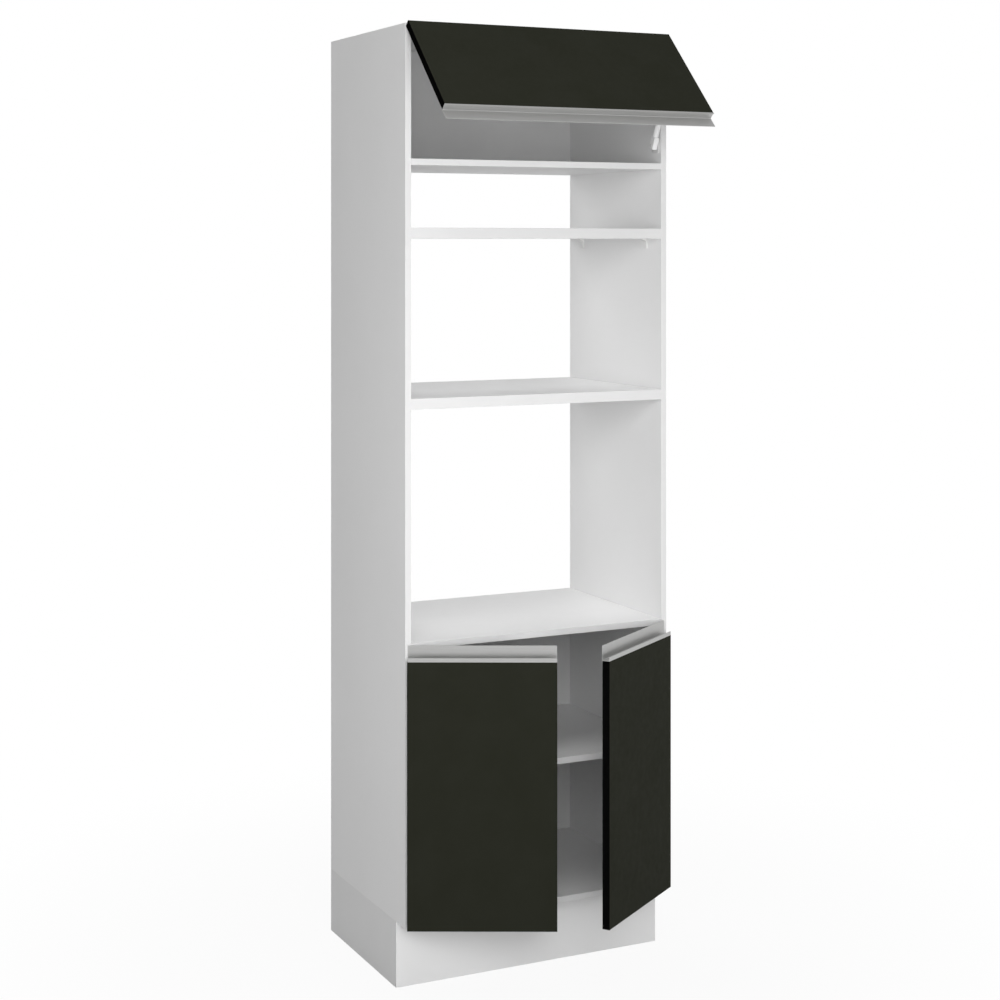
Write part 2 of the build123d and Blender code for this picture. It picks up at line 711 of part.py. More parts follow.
PIN_WORLD_Y = FRONT_Y + PIN_Y
LEAF_TURNS = {
    "left_door": (Axis((PIN_X - SIDE_X, PIN_WORLD_Y, 0), (0, 0, -1)), LEFT_OPEN),
    "right_door": (Axis((SIDE_X - PIN_X, PIN_WORLD_Y, 0), (0, 0, 1)), RIGHT_OPEN),
    "flap": (Axis((0, PIN_WORLD_Y, HEIGHT - PIN_X), (-1, 0, 0)), FLAP_OPEN),
}


def opened(shape, leaf):
    """A closed leaf's piece, turned to where the leaf stands open."""
    axis, angle = LEAF_TURNS[leaf]
    return shape.rotate(axis, angle)


def leaf_board(x, z, open_edge):
    """The black board of a leaf, and the bands on all its edges but the handle's."""
    y = (LEAF_FRONT_Y, LEAF_BACK_Y)
    low = z[0] + EDGE_BAND if open_edge == "top" else z[0]
    high = z[1] if open_edge == "top" else z[1] - EDGE_BAND
    core = block((x[0] + EDGE_BAND, x[1] - EDGE_BAND), y, (low, high))
    bands = [block((x[0], x[0] + EDGE_BAND), y, z), block((x[1] - EDGE_BAND, x[1]), y, z)]
    across = (x[0] + EDGE_BAND, x[1] - EDGE_BAND)
    bands.append(block(across, y, (z[0], low) if open_edge == "top" else (high, z[1])))
    outer = [bands[0].edges().group_by(Axis.X)[0].filter_by(Axis.Z)]
    outer.append(bands[1].edges().group_by(Axis.X)[-1].filter_by(Axis.Z))
    end = 0 if open_edge == "top" else -1
    outer.append(bands[2].edges().group_by(Axis.Z)[end].filter_by(Axis.X))
    return core, group([fillet(edges, 0.3) for edges in outer])


def bumpers(places):
    """Soft round pads on the back of a leaf that meet the carcass when it shuts."""
    pads = []
    for x, z in places:
        pad = bar_y(BUMPER_RADIUS, x, (LEAF_BACK_Y, LEAF_BACK_Y + LEAF_GAP - BUMPER_PLAY), z)
        pads.append(fillet(pad.edges().group_by(Axis.Y)[-1], 1))
    return group(pads)


def door_parts(name):
    """Every piece of one lower door. The right door mirrors the left."""
    x = (-SIDE_X + REVEAL, -SIDE_X + REVEAL + DOOR_WIDTH)
    core, bands = leaf_board(x, (DOOR_LOW_Z, DOOR_TOP_Z), "top")
    length = DOOR_WIDTH - HANDLE_CUT
    corner = Pos(x[0] + HANDLE_CUT, LEAF_FRONT_Y, DOOR_TOP_Z)
    screws = cup_screws("left_door") + [corner * piece for piece in handle_screws(length, 3)]
    bumper_places = [(x[0] + inset, DOOR_LOW_Z + DOOR_BUMPER_RISE) for inset in DOOR_BUMPER_INSETS]
    parts = {
        "panel": cut(core, cup_holes("left_door") + screws),
        "edge_bands": bands,
        "handle": cut(corner * handle(length, DOOR_HANDLE_LIP, DOOR_HANDLE_RISE), screws),
        "hinge_cups": group(placed(hinge_cup(), "left_door")),
        "hinge_pins": group(placed(hinge_pin(), "left_door")),
        "screws": group(screws),
        "bumpers": bumpers(bumper_places),
    }
    if name == "right_door":
        parts = {part: mirror(shape, about=Plane.YZ) for part, shape in parts.items()}
    return {f"{name}_{part}": opened(shape, name) for part, shape in parts.items()}


def on_flap(from_edge, off_face):
    """Height and depth of a point by its distance from the flap's top edge and back face."""
    return (LEAF_BACK_Y + off_face, FLAP_TOP_Z - from_edge)


def strut_bracket():
    """A folded steel bracket: a foot on the flap and a plate with the pin's window."""
    foot_y = (LEAF_BACK_Y, LEAF_BACK_Y + BRACKET_WALL)
    z = (FLAP_TOP_Z - BRACKET_TO, FLAP_TOP_Z - BRACKET_FROM)
    plate_x = (BRACKET_X, BRACKET_X + BRACKET_WALL)
    foot = block((BRACKET_X - BRACKET_FOOT, plate_x[1]), foot_y, z)
    plate = block(plate_x, (LEAF_BACK_Y, LEAF_BACK_Y + BRACKET_HEIGHT), z)
    plate = fillet(plate.edges().filter_by(Axis.X).group_by(Axis.Y)[-1], BRACKET_ROUNDING)
    corners = [on_flap(*corner) for corner in WINDOW_CORNERS]
    window = offset(make_face(Polyline(*corners, close=True)), amount=WINDOW_RADIUS)
    hole = extrude(Pos(BRACKET_X - 1, 0, 0) * Plane.YZ.location * window, amount=BRACKET_WALL + 2)
    return foot + plate - hole


def strut_bracket_screws():
    screws = []
    for from_edge in (BRACKET_FROM + BRACKET_SCREW_INSET, BRACKET_TO - BRACKET_SCREW_INSET):
        y, z = on_flap(from_edge, BRACKET_WALL)
        screws.append(Pos(BRACKET_X - BRACKET_FOOT / 2, y, z) * Rot(90, 0, 0) * screw())
    return screws


def flap_parts():
    """Every piece of the lift-up flap."""
    x = (-FLAP_WIDTH / 2, FLAP_WIDTH / 2)
    core, bands = leaf_board(x, (FLAP_LOW_Z, FLAP_TOP_Z), "bottom")
    corner = Pos(x[1], LEAF_FRONT_Y, FLAP_LOW_Z) * Rot(0, 180, 0)
    screws = cup_screws("flap") + strut_bracket_screws()
    screws += [corner * piece for piece in handle_screws(FLAP_WIDTH, 5)]
    bumper_places = [(side * (SIDE_X - BOARD / 2), FLAP_LOW_Z + FLAP_BUMPER_RISE) for side in (-1, 1)]
    parts = {
        "flap_panel": cut(core, cup_holes("flap") + screws),
        "flap_edge_bands": bands,
        "flap_handle": cut(corner * handle(FLAP_WIDTH, FLAP_HANDLE_LIP, FLAP_HANDLE_RISE), screws),
        "flap_hinge_cups": group(placed(hinge_cup(), "flap")),
        "flap_hinge_pins": group(placed(hinge_pin(), "flap")),
        "flap_screws": group(screws),
        "flap_bumpers": bumpers(bumper_places),
        "flap_strut_bracket": cut(strut_bracket(), screws),
    }
    return {part: opened(shape, "flap") for part, shape in parts.items()}


# Gas strut, drawn upright from its lower pin and then leaned to meet the flap's bracket

def strut_line():
    """The strut's lean from upright, in degrees, and the distance between its two pins."""
    y, z = on_flap(STRUT_FROM_EDGE, STRUT_OFF_FLAP)
    turn = radians(FLAP_OPEN)
    dy = y - PIN_WORLD_Y
    dz = z - (HEIGHT - PIN_X)
    open_y = PIN_WORLD_Y + dy * cos(turn) + dz * sin(turn)
    open_z = HEIGHT - PIN_X + dz * cos(turn) - dy * sin(turn)
    reach = hypot(open_y - STRUT_Y, open_z - STRUT_Z)
    return degrees(atan2(STRUT_Y - open_y, open_z - STRUT_Z)), reach


STRUT_LEAN, STRUT_REACH = strut_line()


def leaned(shape):
    """An upright piece of the strut in its place."""
    return Pos(STRUT_X, STRUT_Y, STRUT_Z) * Rot(STRUT_LEAN, 0, 0) * shape


def strut_lower_socket():
    x = (-SOCKET_HALF_X, SOCKET_HALF_X)
    y = (-SOCKET_HALF_Y, SOCKET_HALF_Y)
    socket = block(x, y, (-SOCKET_BELOW, SOCKET_ABOVE))
    socket = fillet(socket.edges(), SOCKET_ROUNDING)
    return socket - bar_x(STRUT_PIN_RADIUS + PIN_PLAY, (x[0] - 1, x[1] + 1), 0, 0)


def strut_cylinder():
    tube = bar_z(TUBE_RADIUS, 0, 0, (SOCKET_ABOVE, TUBE_TOP))
    return tube - bar_z(TUBE_BORE, 0, 0, (SOCKET_ABOVE + TUBE_FLOOR, TUBE_TOP + 1))


def strut_gland():
    """The seal that closes the tube round the rod."""
    gland = bar_z(TUBE_RADIUS, 0, 0, (TUBE_TOP, GLAND_TOP))
    gland = fillet(gland.edges().group_by(Axis.Z)[-1], GLAND_ROUNDING)
    gland += bar_z(TUBE_BORE, 0, 0, (TUBE_TOP - GLAND_PLUG, TUBE_TOP))
    return gland - bar_z(ROD_RADIUS + PIN_PLAY, 0, 0, (TUBE_TOP - GLAND_PLUG - 1, GLAND_TOP + 1))


def strut_rod():
    """The polished rod with the piston on its hidden end."""
    top = STRUT_REACH - TOP_SOCKET_BELOW
    rod = bar_z(ROD_RADIUS, 0, 0, (top - ROD_LENGTH, top))
    return rod + bar_z(PISTON_RADIUS, 0, 0, (top - ROD_LENGTH, top - ROD_LENGTH + PISTON_LENGTH))


def strut_upper_socket():
    x = (-SOCKET_HALF_X, SOCKET_HALF_X)
    y = (-TOP_SOCKET_HALF_Y, TOP_SOCKET_HALF_Y)
    socket = block(x, y, (STRUT_REACH - TOP_SOCKET_BELOW, STRUT_REACH + TOP_SOCKET_HALF_Y))
    socket = fillet(socket.edges(), SOCKET_ROUNDING)
    return socket - bar_x(STRUT_PIN_RADIUS, (x[0] - 1, x[1] + 1), 0, STRUT_REACH)


def strut_upper_pin():
    """The pin that rides in the bracket's window, with a wide washer behind the plate."""
    washer = BRACKET_X - WASHER_PLAY - STRUT_X
    pin = bar_x(STRUT_PIN_RADIUS, (washer - WASHER, SOCKET_HALF_X), 0, STRUT_REACH)
    return pin + bar_x(WASHER_RADIUS, (washer - WASHER, washer), 0, STRUT_REACH)


def strut_panel_bracket():
    """A plate on the side panel with the stud that the strut swings on."""
    wall_x = (INNER_X - PANEL_BRACKET_WALL, INNER_X)
    z = (STRUT_Z - PANEL_BRACKET_HALF_Z, STRUT_Z + PANEL_BRACKET_HALF_Z)
    plate = fillet(block(wall_x, PANEL_BRACKET_Y, z).edges().filter_by(Axis.X), PANEL_BRACKET_ROUNDING)
    stop = STRUT_X - SOCKET_HALF_X - STUD_PLAY
    plate += bar_x(STRUT_PIN_RADIUS, (stop, wall_x[0]), STRUT_Y, STRUT_Z)
    return plate + bar_x(STUD_STOP_RADIUS, (stop - STUD_STOP, stop), STRUT_Y, STRUT_Z)


def panel_bracket_screws():
    """Screws above and below the stud that hold its plate on the side panel."""
    seat = Pos(INNER_X - PANEL_BRACKET_WALL, PANEL_BRACKET_SCREW_Y, STRUT_Z) * Rot(0, 90, 0)
    return [seat * Pos(side * PANEL_BRACKET_SCREW_HALF, 0, 0) * screw() for side in (-1, 1)]


def wall_bracket_screws():
    seat = TOP_PANEL_Z - WALL_BRACKET_WALL
    return [Pos(x, WALL_BRACKET_SCREW_Y, seat) * screw() for x in WALL_BRACKET_XS]


# Assembly

def carcass_parts():
    """Every piece that stands still."""
    plate_screws = [s for leaf in LEAF_TURNS for s in hinge_plate_screws(leaf)]
    mounting_screws = plate_screws + panel_bracket_screws() + wall_bracket_screws()
    nails = back_panel_nails()
    pegs = dowels()
    bolts = cam_bolts()
    pins = middle_shelf_pins()
    clips = niche_shelf_clips()
    base_screws = plinth_screws()
    into_sides = [nails, pegs, bolts, pins, clips, *mounting_screws]
    side = board((-SIDE_X, -INNER_X), (FRONT_Y, BACK_Y), (PLINTH_HEIGHT, HEIGHT))
    parts = {
        "left_side_panel": cut(side, into_sides),
        "right_side_panel": cut(mirror(side, about=Plane.YZ), into_sides),
    }
    for name, (low, thick, cam_side) in FIXED_BOARDS.items():
        plain = board((-INNER_X, INNER_X), (FRONT_Y, BACK_Y), (low, low + thick))
        tools = cam_pockets(low, thick, cam_side) + [pegs, nails, base_screws, *mounting_screws]
        parts[name] = cut(plain, tools)
    niche_z = (NICHE_SHELF_Z, NICHE_SHELF_Z + THICK_BOARD)
    parts["niche_shelf"] = board((-INNER_X, INNER_X), (FRONT_Y, BACK_Y), niche_z)
    parts["middle_shelf"] = middle_shelf()
    hole_y = (BACK_Y - 1, BACK_Y + SHEET + 1)
    wall_holes = [bar_y(WALL_HOLE_RADIUS, x, hole_y, WALL_HOLE_Z) for x in WALL_BRACKET_XS]
    for name in SHEET_SPANS:
        parts[name] = cut(back_sheet(name), [nails, *wall_holes])
    for name, plain in plinth_boards().items():
        parts[name] = cut(plain, [pegs, base_screws])
    parts["plinth_corner_blocks"] = group(cut(plinth_corner_blocks(), [base_screws]).solids())
    parts["plinth_screws"] = base_screws
    parts["cam_housings"] = cam_housings()
    parts["cam_bolts"] = bolts
    parts["cam_caps"] = cam_caps()
    parts["dowels"] = pegs
    parts["back_panel_nails"] = nails
    parts["middle_shelf_pins"] = pins
    parts["niche_shelf_clips"] = clips
    parts["wall_brackets"] = wall_brackets()
    parts["mounting_screws"] = group(mounting_screws)
    parts["hinge_plates"] = group([p for leaf in LEAF_TURNS for p in placed(hinge_plate(), leaf)])
    parts["hinge_arms"] = group([p for leaf in LEAF_TURNS for p in placed(hinge_arm(), leaf)])
    parts["hinge_arm_screws"] = group([p for leaf in LEAF_TURNS for p in hinge_arm_screws(leaf)])
    parts["strut_panel_bracket"] = cut(strut_panel_bracket(), panel_bracket_screws())
    return parts


def strut_parts():
    """Every piece of the gas strut."""
    upright = {
        "strut_lower_socket": strut_lower_socket(),
        "strut_cylinder": strut_cylinder(),
        "strut_gland": strut_gland(),
        "strut_rod": strut_rod(),
        "strut_upper_socket": strut_upper_socket(),
        "strut_upper_pin": strut_upper_pin(),
    }
    return {name: leaned(shape) for name, shape in upright.items()}


def write_parts():
    os.makedirs("parts", exist_ok=True)
    parts = {}
    parts.update(carcass_parts())
    parts.update(door_parts("left_door"))
    parts.update(door_parts("right_door"))
    parts.update(flap_parts())
    parts.update(strut_parts())
    for name, shape in parts.items():
        export_step(shape, f"parts/{name}.step")
    print(len(parts), "parts, strut lean", round(STRUT_LEAN, 3), "reach", round(STRUT_REACH, 3))


write_parts()
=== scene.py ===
import math

import bmesh
import bpy
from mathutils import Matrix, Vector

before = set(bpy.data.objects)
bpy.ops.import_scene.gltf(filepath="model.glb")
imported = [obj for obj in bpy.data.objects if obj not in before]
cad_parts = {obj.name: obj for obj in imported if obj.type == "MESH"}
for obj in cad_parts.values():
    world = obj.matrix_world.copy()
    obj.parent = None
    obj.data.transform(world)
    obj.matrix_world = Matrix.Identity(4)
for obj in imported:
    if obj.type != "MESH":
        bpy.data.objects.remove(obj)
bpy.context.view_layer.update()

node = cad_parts


# White carcass boards: chipboard with a satin melamine face and a glued band on the
# front edge. The sides stand on the plinth, and the other boards are cammed between them.

def new_finish(name, colour, roughness, metallic=0.0, specular=0.5):
    """A material with its plain values on the shader's own sockets."""
    finish = bpy.data.materials.new(name)
    finish.use_nodes = True
    shader = finish.node_tree.nodes["Principled BSDF"]
    shader.inputs["Base Color"].default_value = (*colour, 1.0)
    shader.inputs["Roughness"].default_value = roughness
    shader.inputs["Metallic"].default_value = metallic
    shader.inputs["Specular IOR Level"].default_value = specular
    return finish


def add_node(finish, kind, **settings):
    """A shader node with its settings, and its sockets by name, with underscores for spaces."""
    made = finish.node_tree.nodes.new(kind)
    for key, value in settings.items():
        socket = key.replace("_", " ").title()
        if socket in made.inputs:
            made.inputs[socket].default_value = value
        else:
            setattr(made, key, value)
    return made


def wire(finish, start, end):
    finish.node_tree.links.new(start, end)


def stretched_place(finish, stretch=(1, 1, 1), turn=0.0):
    """Object coordinates, turned about the upright axis and stretched."""
    place = add_node(finish, "ShaderNodeTexCoord")
    mapping = add_node(finish, "ShaderNodeMapping")
    mapping.inputs["Rotation"].default_value = (0, 0, turn)
    wire(finish, place.outputs["Object"], mapping.inputs["Vector"])
    scaling = add_node(finish, "ShaderNodeMapping")
    scaling.inputs["Scale"].default_value = stretch
    wire(finish, mapping.outputs["Vector"], scaling.inputs["Vector"])
    return scaling.outputs["Vector"]


def noise(finish, place, scale, detail=3.0):
    pattern = add_node(finish, "ShaderNodeTexNoise", Scale=scale, Detail=detail)
    wire(finish, place, pattern.inputs["Vector"])
    return pattern.outputs["Fac"]


def ramp(finish, value, dark, light, low=0.3, high=0.7):
    """A colour that runs from dark to light as the value goes from low to high."""
    scale = add_node(finish, "ShaderNodeValToRGB")
    scale.color_ramp.elements[0].position = low
    scale.color_ramp.elements[0].color = (*dark, 1.0)
    scale.color_ramp.elements[1].position = high
    scale.color_ramp.elements[1].color = (*light, 1.0)
    wire(finish, value, scale.inputs["Fac"])
    return scale.outputs["Color"]


def spread(finish, value, low, high):
    """The value, spread between low and high."""
    scale = add_node(finish, "ShaderNodeMapRange")
    scale.inputs["From Min"].default_value = 0.3
    scale.inputs["From Max"].default_value = 0.7
    scale.inputs["To Min"].default_value = low
    scale.inputs["To Max"].default_value = high
    wire(finish, value, scale.inputs["Value"])
    return scale.outputs["Result"]


def relief(finish, height, depth, strength):
    """Small relief on the surface, with its depth in metres."""
    bump = add_node(finish, "ShaderNodeBump")
    bump.inputs["Strength"].default_value = strength
    bump.inputs["Distance"].default_value = depth
    wire(finish, height, bump.inputs["Height"])
    return bump.outputs["Normal"]


def shader_input(finish, name):
    return finish.node_tree.nodes["Principled BSDF"].inputs[name]


BAND_THICKNESS = 0.0008


def melamine(name, dark, light, band=None, front=None):
    """Satin melamine with a fine pearl, and a plastic band on the edge at the front."""
    finish = new_finish(name, light, 0.42, specular=0.4)
    place = stretched_place(finish)
    colour = ramp(finish, noise(finish, place, 5.0), dark, light)
    if band is not None:
        split = add_node(finish, "ShaderNodeSeparateXYZ")
        wire(finish, place, split.inputs["Vector"])
        is_band = add_node(finish, "ShaderNodeMath", operation="LESS_THAN")
        wire(finish, split.outputs["Y"], is_band.inputs[0])
        is_band.inputs[1].default_value = front + BAND_THICKNESS
        mix = add_node(finish, "ShaderNodeMix", data_type="RGBA")
        wire(finish, is_band.outputs["Value"], mix.inputs["Factor"])
        wire(finish, colour, mix.inputs["A"])
        mix.inputs["B"].default_value = (*band, 1.0)
        colour = mix.outputs["Result"]
    wire(finish, colour, shader_input(finish, "Base Color"))
    satin = spread(finish, noise(finish, place, 40.0), 0.38, 0.46)
    wire(finish, satin, shader_input(finish, "Roughness"))
    pearl = relief(finish, noise(finish, place, 900.0, 2.0), 0.00006, 0.5)
    wire(finish, pearl, shader_input(finish, "Normal"))
    return finish


def dress(finish, *names):
    """Give a CAD node the finish in place of its plain one."""
    for name in names:
        node[name].data.materials.clear()
        node[name].data.materials.append(finish)


CARCASS_FRONT = min(corner.co.y for corner in node["left_side_panel"].data.vertices)
BOARD_WHITES = (0.78, 0.78, 0.78), (0.795, 0.795, 0.795)
BAND_WHITE = (0.68, 0.68, 0.68)
white_board = melamine("white_melamine", *BOARD_WHITES, BAND_WHITE, CARCASS_FRONT)
dress(white_board, "left_side_panel", "right_side_panel", "top_panel", "bottom_panel", "oven_shelf",
      "microwave_shelf", "niche_shelf", "flap_compartment_floor", "middle_shelf")


# Plinth: four white boards on edge, mitred at the front corners, set back under the
# cabinet, with a rail below the middle. Softwood blocks are screwed into its corners.

# The plinth's white is a little darker than the white of the carcass boards: the difference is painted
# shade for its place set back under the cabinet.
plinth_board_painted_shade = melamine("plinth_melamine_painted_shade", (0.715, 0.715, 0.715), (0.735, 0.735, 0.735))
dress(plinth_board_painted_shade, "plinth_front_board", "plinth_back_board", "plinth_left_board", "plinth_right_board",
      "plinth_middle_rail")


def timber(name, dark, light, rings):
    """Wood with rings that run along X and a fine pore."""
    finish = new_finish(name, light, 0.6)
    place = stretched_place(finish, (0.15, 1.0, 1.0))
    waves = add_node(finish, "ShaderNodeTexWave", Scale=rings, Distortion=5.0, Detail=3.0)
    wire(finish, place, waves.inputs["Vector"])
    colour = ramp(finish, waves.outputs["Fac"], dark, light, 0.1, 0.9)
    wire(finish, colour, shader_input(finish, "Base Color"))
    pores = relief(finish, noise(finish, place, 700.0), 0.0002, 0.5)
    wire(finish, pores, shader_input(finish, "Normal"))
    return finish


dress(timber("softwood", (0.55, 0.37, 0.19), (0.72, 0.55, 0.34), 60.0), "plinth_corner_blocks")


# Dowels: pins of turned beech, glued into the ends of the boards beside the cams,
# so that each board keeps its place in the side panel.

dress(timber("beech", (0.6, 0.42, 0.26), (0.74, 0.58, 0.4), 160.0), "dowels")


# Back sheets: thin fibreboard, lacquered white, nailed on the rear edges of the boards
# behind the lower and the upper cupboard.

def back_sheet_finish():
    """A cloudy lacquer over fine fibres."""
    finish = new_finish("white_fibreboard", (0.78, 0.78, 0.78), 0.5, specular=0.35)
    place = stretched_place(finish)
    clouds = ramp(finish, noise(finish, place, 9.0), (0.76, 0.76, 0.76), (0.79, 0.79, 0.79))
    wire(finish, clouds, shader_input(finish, "Base Color"))
    fibres = relief(finish, noise(finish, place, 500.0, 4.0), 0.00015, 0.6)
    wire(finish, fibres, shader_input(finish, "Normal"))
    return finish


dress(back_sheet_finish(), "lower_back_panel", "upper_back_panel")


# Metal fittings: cast cams, plated bolts, screws, nails and pins, pressed hinge parts
# and lacquered brackets. Each has the small streaks or grains of how it is made.

def metal(name, dark, light, roughness, grain, stretch=(1, 1, 1), metallic=1.0, turn=0.0,
          depth=0.00004):
    """Metal, or lacquer on metal, with fine streaks in its colour, gloss and relief."""
    finish = new_finish(name, light, roughness, metallic)
    place = stretched_place(finish, stretch, turn)
    streaks = noise(finish, place, grain, 4.0)
    wire(finish, ramp(finish, streaks, dark, light), shader_input(finish, "Base Color"))
    gloss = spread(finish, streaks, roughness - 0.05, roughness + 0.07)
    wire(finish, gloss, shader_input(finish, "Roughness"))
    wire(finish, relief(finish, streaks, depth, 0.6), shader_input(finish, "Normal"))
    return finish


dress(metal("cast_zinc", (0.42, 0.42, 0.42), (0.58, 0.58, 0.57), 0.5, 900.0), "cam_housings")

zinc_plating = metal("zinc_plating", (0.6, 0.6, 0.59), (0.72, 0.72, 0.71), 0.3, 500.0)
dress(zinc_plating, "cam_bolts", "plinth_screws", "back_panel_nails", "mounting_screws",
      "middle_shelf_pins", "hinge_arm_screws", "left_door_screws", "right_door_screws", "flap_screws")

nickel_plating = metal("nickel_plating", (0.62, 0.61, 0.59), (0.74, 0.73, 0.71), 0.25, 300.0)
dress(nickel_plating, "hinge_plates", "hinge_arms")
LEAVES = ("left_door", "right_door", "flap")
for leaf in LEAVES:
    dress(nickel_plating, leaf + "_hinge_cups", leaf + "_hinge_pins")

grey_lacquer = metal("grey_lacquer", (0.66, 0.66, 0.66), (0.7, 0.7, 0.7), 0.4, 700.0, metallic=0.0)
dress(grey_lacquer, "wall_brackets", "strut_panel_bracket", "flap_strut_bracket")


# Plastic pieces: moulded white shelf clips, thin caps pressed over the cams, and soft
# clear bumpers stuck to the rear of the leaves.

def moulded(name, dark, light, roughness, depth, specular=0.5):
    """Plastic with a slight mottle and the fine texture of its mould."""
    finish = new_finish(name, light, roughness, specular=specular)
    place = stretched_place(finish)
    mottle = noise(finish, place, 60.0)
    wire(finish, ramp(finish, mottle, dark, light), shader_input(finish, "Base Color"))
    texture = relief(finish, noise(finish, place, 1500.0), depth, 0.5)
    wire(finish, texture, shader_input(finish, "Normal"))
    return finish


white_plastic = moulded("white_plastic", (0.76, 0.76, 0.75), (0.8, 0.8, 0.79), 0.4, 0.00003)
dress(white_plastic, "cam_caps", "niche_shelf_clips")

clear_bumper = moulded("clear_bumper", (0.62, 0.62, 0.61), (0.7, 0.7, 0.69), 0.3, 0.00003)
for leaf in LEAVES:
    dress(clear_bumper, leaf + "_bumpers")


# Doors and flap: chipboard fronts in a matt olive-black, with black plastic bands
# glued round the edges.

def black_front_finish():
    """A matt front with a faint cloud in its colour, patches in its gloss and a fine skin."""
    finish = new_finish("olive_black_front", (0.0181, 0.019, 0.0135), 0.65, specular=0.03)
    place = stretched_place(finish)
    cloud = noise(finish, place, 12.0, 5.0)
    colour = ramp(finish, cloud, (0.0171, 0.018, 0.0125), (0.0191, 0.02, 0.0145))
    wire(finish, colour, shader_input(finish, "Base Color"))
    patches = spread(finish, noise(finish, place, 60.0), 0.56, 0.66)
    wire(finish, patches, shader_input(finish, "Roughness"))
    skin = relief(finish, noise(finish, place, 800.0, 2.0), 0.00008, 0.6)
    wire(finish, skin, shader_input(finish, "Normal"))
    return finish


black_front = black_front_finish()
black_band = moulded("black_band", (0.0018, 0.0018, 0.0018), (0.0028, 0.0028, 0.0028), 0.6, 0.00003,
                     specular=0.0)
for leaf in LEAVES:
    dress(black_front, leaf + "_panel")
    dress(black_band, leaf + "_edge_bands")


# Handle profiles: extruded aluminium with a satin anodised face, drawn marks along it,
# screwed to the free edge of each leaf.

LEFT_DOOR_TURN = math.radians(26.2)
RIGHT_DOOR_TURN = math.radians(-35)
DRAWN_ALONG_X = (0.02, 1.0, 1.0)


def aluminium(name, turn):
    """The drawn marks run along the profile once the pattern is turned with its leaf."""
    return metal(name, (0.6, 0.6, 0.592), (0.66, 0.66, 0.651), 0.42, 450.0, DRAWN_ALONG_X,
                 metallic=0.9, turn=turn, depth=0.00002)


dress(aluminium("aluminium_left_door", LEFT_DOOR_TURN), "left_door_handle")
dress(aluminium("aluminium_right_door", RIGHT_DOOR_TURN), "right_door_handle")
dress(aluminium("aluminium_flap", 0.0), "flap_handle")


# Gas strut: a lacquered steel tube, a plastic gland and sockets, and a chromed rod.
# Its lower end swings on a stud in the side panel, and its upper end rides in a bracket.

strut_lacquer = metal("strut_tube_lacquer", (0.84, 0.84, 0.84), (0.88, 0.88, 0.88), 0.35, 400.0,
                      metallic=0.0)
dress(strut_lacquer, "strut_cylinder")

strut_plastic = moulded("strut_plastic", (0.82, 0.82, 0.82), (0.87, 0.87, 0.87), 0.4, 0.00004)
dress(strut_plastic, "strut_lower_socket", "strut_upper_socket", "strut_gland")

hard_chrome = metal("hard_chrome", (0.74, 0.74, 0.74), (0.8, 0.8, 0.8), 0.12, 300.0)
dress(hard_chrome, "strut_rod", "strut_upper_pin")


# Floor: a wide pale sheet, not part of the cabinet. It keeps the cabinet's shadow close by
# and turns to plain white further out, also in what the metal mirrors.

floor_mesh = bpy.data.meshes.new("studio_floor")
floor = bpy.data.objects.new("studio_floor", floor_mesh)
bpy.context.scene.collection.objects.link(floor)

FLOOR_HALF_WIDTH = 30.0
FLOOR_GLOW = 0.93
SHADOW_REACH = (0.4, 1.8)
MIRRORED_GLOW = (0.06, 0.68)
MIRRORED_REACH = (0.6, 3.2)
sheet = bmesh.new()
bmesh.ops.create_grid(sheet, x_segments=1, y_segments=1, size=FLOOR_HALF_WIDTH)
sheet.to_mesh(floor_mesh)
sheet.free()
floor_finish = new_finish("pale_floor", (0.55, 0.55, 0.55), 0.8, specular=0.0)
path = add_node(floor_finish, "ShaderNodeLightPath")
glow = add_node(floor_finish, "ShaderNodeEmission", Strength=1.0)
glow.inputs["Color"].default_value = (1.0, 1.0, 1.0, 1.0)
ring = add_node(floor_finish, "ShaderNodeVectorMath", operation="LENGTH")
wire(floor_finish, stretched_place(floor_finish), ring.inputs[0])


def seen_by(ray_kind, reach, glows):
    """The glow for one kind of ray, which grows with the distance from the middle of the floor."""
    fade = add_node(floor_finish, "ShaderNodeMapRange", interpolation_type="SMOOTHSTEP")
    wire(floor_finish, ring.outputs["Value"], fade.inputs["Value"])
    fade.inputs["From Min"].default_value = reach[0]
    fade.inputs["From Max"].default_value = reach[1]
    fade.inputs["To Min"].default_value = glows[0]
    fade.inputs["To Max"].default_value = glows[1]
    share = add_node(floor_finish, "ShaderNodeMath", operation="MULTIPLY")
    wire(floor_finish, path.outputs[ray_kind], share.inputs[0])
    wire(floor_finish, fade.outputs["Result"], share.inputs[1])
    return share.outputs["Value"]


seen = add_node(floor_finish, "ShaderNodeMath", operation="MAXIMUM")
wire(floor_finish, seen_by("Is Camera Ray", SHADOW_REACH, (FLOOR_GLOW, 1.0)), seen.inputs[0])
wire(floor_finish, seen_by("Is Glossy Ray", MIRRORED_REACH, MIRRORED_GLOW), seen.inputs[1])
blend = add_node(floor_finish, "ShaderNodeMixShader")
wire(floor_finish, seen.outputs["Value"], blend.inputs["Fac"])
wire(floor_finish, floor_finish.node_tree.nodes["Principled BSDF"].outputs["BSDF"], blend.inputs[1])
wire(floor_finish, glow.outputs["Emission"], blend.inputs[2])
floor_surface = floor_finish.node_tree.nodes["Material Output"].inputs["Surface"]
wire(floor_finish, blend.outputs["Shader"], floor_surface)
floor_mesh.materials.append(floor_finish)


# Studio light: a white room that lights little, large soft lights in front of the cabinet,
# above it and behind it, and weak ones that open the shadows low down and at the sides.

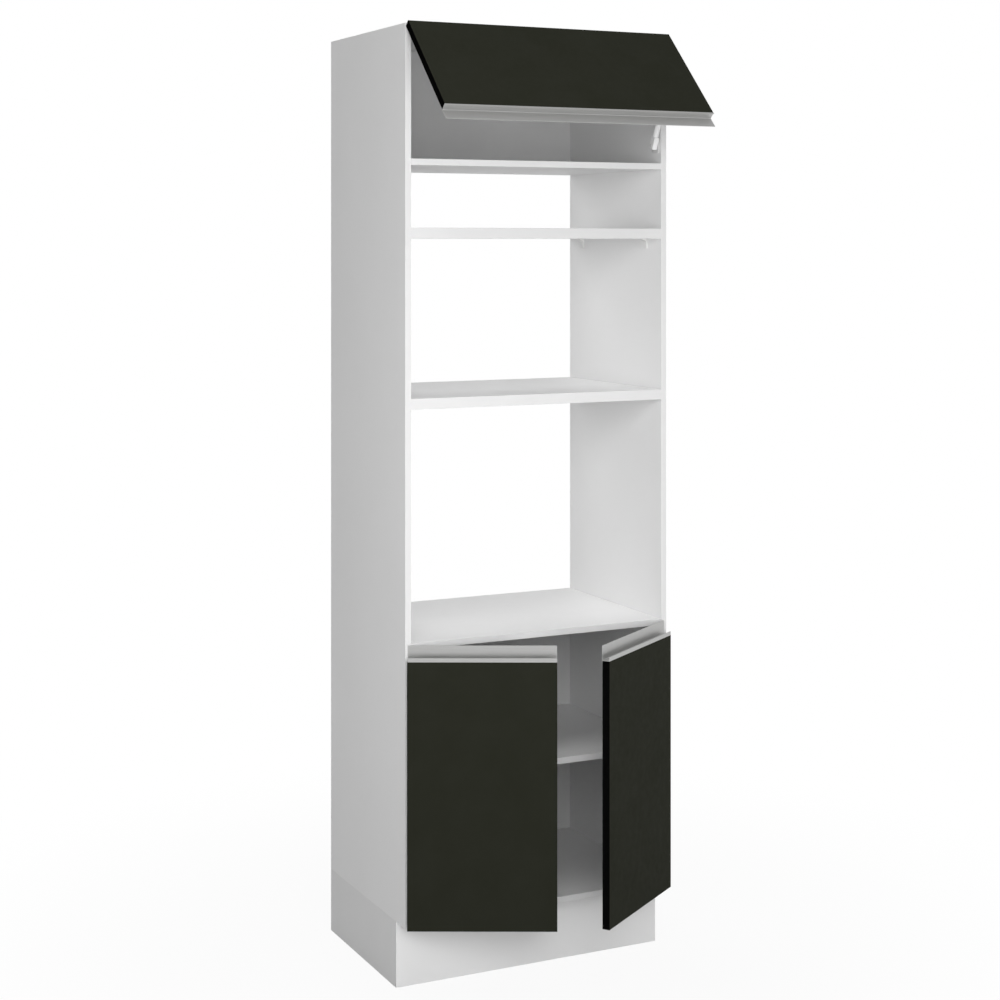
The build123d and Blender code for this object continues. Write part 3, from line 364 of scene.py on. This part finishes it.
AMBIENT = 0.1
MIRRORED_ROOM = 0.5
world = bpy.data.worlds.new("studio_room")
bpy.context.scene.world = world
world.use_nodes = True
room = world.node_tree.nodes
links = world.node_tree.links
ambient = room["Background"]
ambient.inputs["Color"].default_value = (1.0, 1.0, 1.0, 1.0)
ambient.inputs["Strength"].default_value = AMBIENT
backdrop = room.new("ShaderNodeBackground")
backdrop.inputs["Color"].default_value = (1.0, 1.0, 1.0, 1.0)
backdrop.inputs["Strength"].default_value = 1.0
ray = room.new("ShaderNodeLightPath")
shown = room.new("ShaderNodeMixShader")
mirrored = room.new("ShaderNodeBackground")
mirrored.inputs["Color"].default_value = (1.0, 1.0, 1.0, 1.0)
mirrored.inputs["Strength"].default_value = MIRRORED_ROOM
lit = room.new("ShaderNodeMixShader")
links.new(ray.outputs["Is Glossy Ray"], lit.inputs["Fac"])
links.new(ambient.outputs["Background"], lit.inputs[1])
links.new(mirrored.outputs["Background"], lit.inputs[2])
links.new(ray.outputs["Is Camera Ray"], shown.inputs["Fac"])
links.new(lit.outputs["Shader"], shown.inputs[1])
links.new(backdrop.outputs["Background"], shown.inputs[2])
links.new(shown.outputs["Shader"], room["World Output"].inputs["Surface"])


def soft_light(name, place, aim, size, power):
    """A square lamp, aimed at a place, which neither the camera nor the metal shows."""
    lamp = bpy.data.lights.new(name, "AREA")
    lamp.shape = "SQUARE"
    lamp.size = size
    lamp.energy = power
    holder = bpy.data.objects.new(name, lamp)
    bpy.context.scene.collection.objects.link(holder)
    holder.location = place
    towards = Vector(aim) - Vector(place)
    holder.rotation_euler = towards.to_track_quat("-Z", "Y").to_euler()
    holder.visible_camera = False
    holder.visible_glossy = False


MIDDLE = (0.0, 0.0, 1.1)
soft_light("front_left_softbox", (-1.6, -2.8, 1.8), MIDDLE, 2.0, 40.0)
soft_light("front_softbox", (-1.3, -4.5, 2.2), MIDDLE, 2.2, 62.0)
soft_light("left_fill", (-1.7, -1.5, 1.5), (-0.2, -0.2, 1.4), 1.2, 8.5)
soft_light("low_front_fill", (0.8, -3.6, 0.6), (0.0, 0.0, 0.5), 1.5, 26.0)
soft_light("low_right_fill", (2.8, -2.4, 0.9), (0.0, 0.0, 0.8), 2.0, 10.0)
soft_light("right_softbox", (3.2, 0.2, 1.5), MIDDLE, 2.0, 28.0)
soft_light("top_softbox", (0.0, -1.2, 4.5), MIDDLE, 2.5, 45.0)
soft_light("rear_softbox", (-0.4, 3.2, 1.6), MIDDLE, 2.5, 22.0)
soft_light("rear_top_softbox", (-0.3, 2.6, 3.2), (0.0, 0.0, 1.2), 2.0, 66.0)


# Camera: level, turned to the photograph's angle, with a downward shift of its frame,
# so that upright edges stay upright.

CAMERA_TURN = -0.452326
camera_data = bpy.data.cameras.new("camera")
camera = bpy.data.objects.new("camera", camera_data)
bpy.context.scene.collection.objects.link(camera)
camera.location = (-2.1108, -4.3639, 1.7449)
camera.rotation_euler = (math.radians(90), 0, CAMERA_TURN)
camera_data.sensor_width = 36.0
camera_data.lens = 69.778
camera_data.shift_y = -0.25887
camera_data.clip_end = 100.0
bpy.context.scene.camera = camera
bpy.context.scene.view_settings.view_transform = "Standard"
